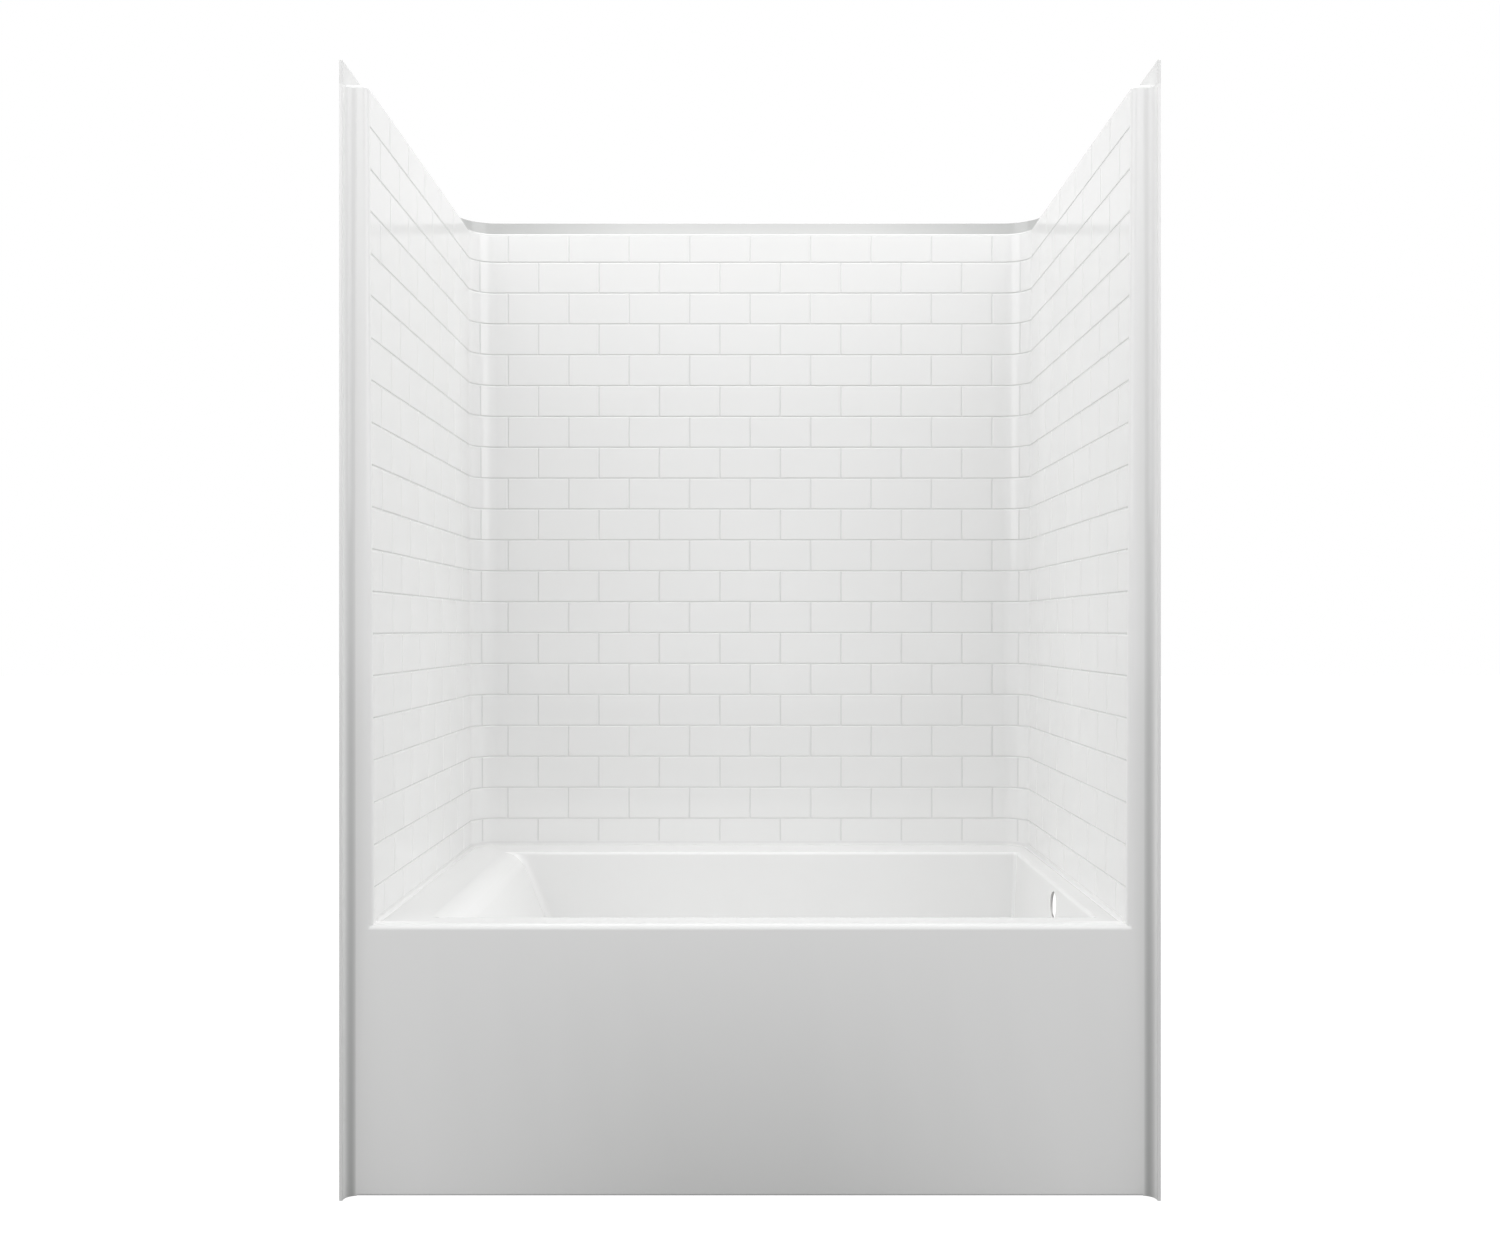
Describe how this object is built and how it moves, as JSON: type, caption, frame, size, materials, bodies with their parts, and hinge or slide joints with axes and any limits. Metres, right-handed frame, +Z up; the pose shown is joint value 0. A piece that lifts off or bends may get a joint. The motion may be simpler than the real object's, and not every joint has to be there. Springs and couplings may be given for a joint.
{
  "type": "tub and shower unit",
  "caption": "White alcove tub and shower unit with a straight apron, sloped backrest and three walls of moulded subway tile under a ledge and nailing flange.",
  "frame": {"origin": "on the floor, midway across the width and midway between the front lip and the back nailing flange", "axes": "+Z up, +Y from the open front towards the back wall, +X towards the drain end"},
  "size_m": [1.524, 1.0974, 2.117],
  "materials": {
    "shell": "glossy white gelcoat",
    "sealant": "white silicone bead",
    "tape": "grey butyl sealing tape",
    "plywood": "plywood sheet",
    "softwood": "planed softwood",
    "fixings": "zinc-plated steel"
  },
  "bodies": {
    "root": {"front_frame": "shell", "tub": "shell", "left_end_wall": "shell", "right_end_wall": "shell", "back_wall": "shell", "rim_sealant": "sealant", "left_corner_tape": "tape", "right_corner_tape": "tape", "left_front_tape": "tape", "right_front_tape": "tape", "apron_tape": "tape", "left_wall_board": "plywood", "right_wall_board": "plywood", "back_wall_board_lower": "plywood", "back_wall_board_upper": "plywood", "base_board": "plywood", "front_bearer": "softwood", "middle_bearer": "softwood", "rear_bearer": "softwood", "apron_rail": "softwood", "left_apron_stiffener": "softwood", "right_apron_stiffener": "softwood", "left_front_post": "softwood", "left_rear_post": "softwood", "right_front_post": "softwood", "right_rear_post": "softwood", "back_rim_rail": "softwood", "left_corner_bolt_1": "fixings", "left_corner_bolt_2": "fixings", "left_corner_bolt_3": "fixings", "left_corner_bolt_4": "fixings", "right_corner_bolt_1": "fixings", "right_corner_bolt_2": "fixings", "right_corner_bolt_3": "fixings", "right_corner_bolt_4": "fixings", "left_front_bolt_1": "fixings", "left_front_bolt_2": "fixings", "left_front_bolt_3": "fixings", "left_front_bolt_4": "fixings", "right_front_bolt_1": "fixings", "right_front_bolt_2": "fixings", "right_front_bolt_3": "fixings", "right_front_bolt_4": "fixings", "left_shelf_bolt_1": "fixings", "left_shelf_bolt_2": "fixings", "right_shelf_bolt_1": "fixings", "right_shelf_bolt_2": "fixings", "back_shelf_bolt_1": "fixings", "back_shelf_bolt_2": "fixings", "back_shelf_bolt_3": "fixings", "apron_bolt_1": "fixings", "apron_bolt_2": "fixings", "apron_bolt_3": "fixings", "apron_bolt_4": "fixings"}
  },
  "joints": []
}
